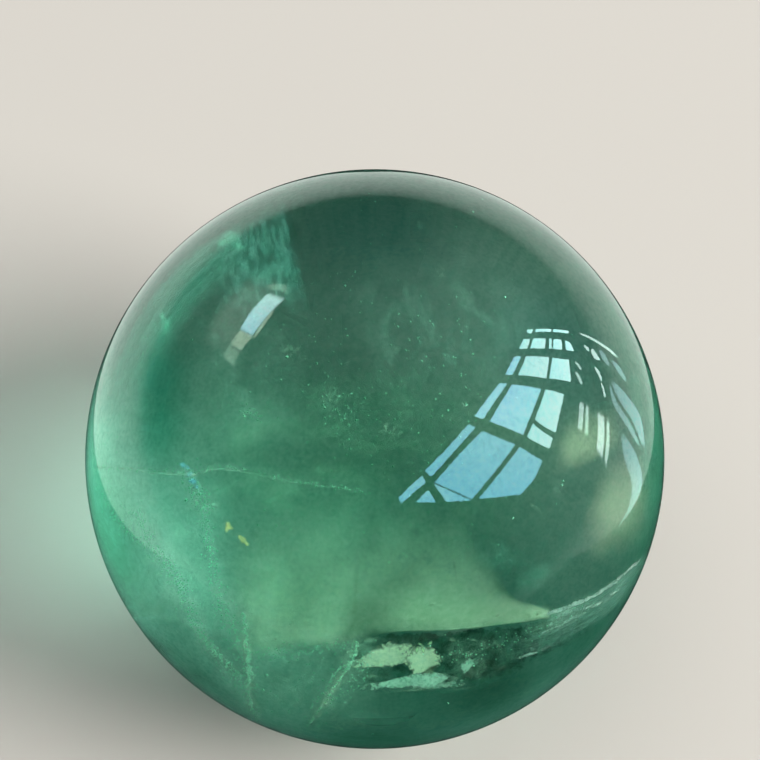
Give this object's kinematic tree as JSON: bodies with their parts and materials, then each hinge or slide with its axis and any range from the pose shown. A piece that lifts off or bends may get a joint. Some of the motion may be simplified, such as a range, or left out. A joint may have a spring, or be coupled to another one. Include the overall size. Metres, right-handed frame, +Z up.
{
  "type": "fluorite sphere",
  "caption": "Polished sphere of clear to milky green fluorite with veils and cleavage planes inside, standing on a small ground flat.",
  "frame": {"origin": "middle of the ground flat that the sphere stands on", "axes": "+Z up through the sphere's centre; +Y points away from the side that the picture shows, +X to its right"},
  "size_m": [0.08, 0.08, 0.0798],
  "materials": {
    "fluorite": "polished, clear to milky green"
  },
  "bodies": {
    "root": {"fluorite_sphere": "fluorite"}
  },
  "joints": []
}
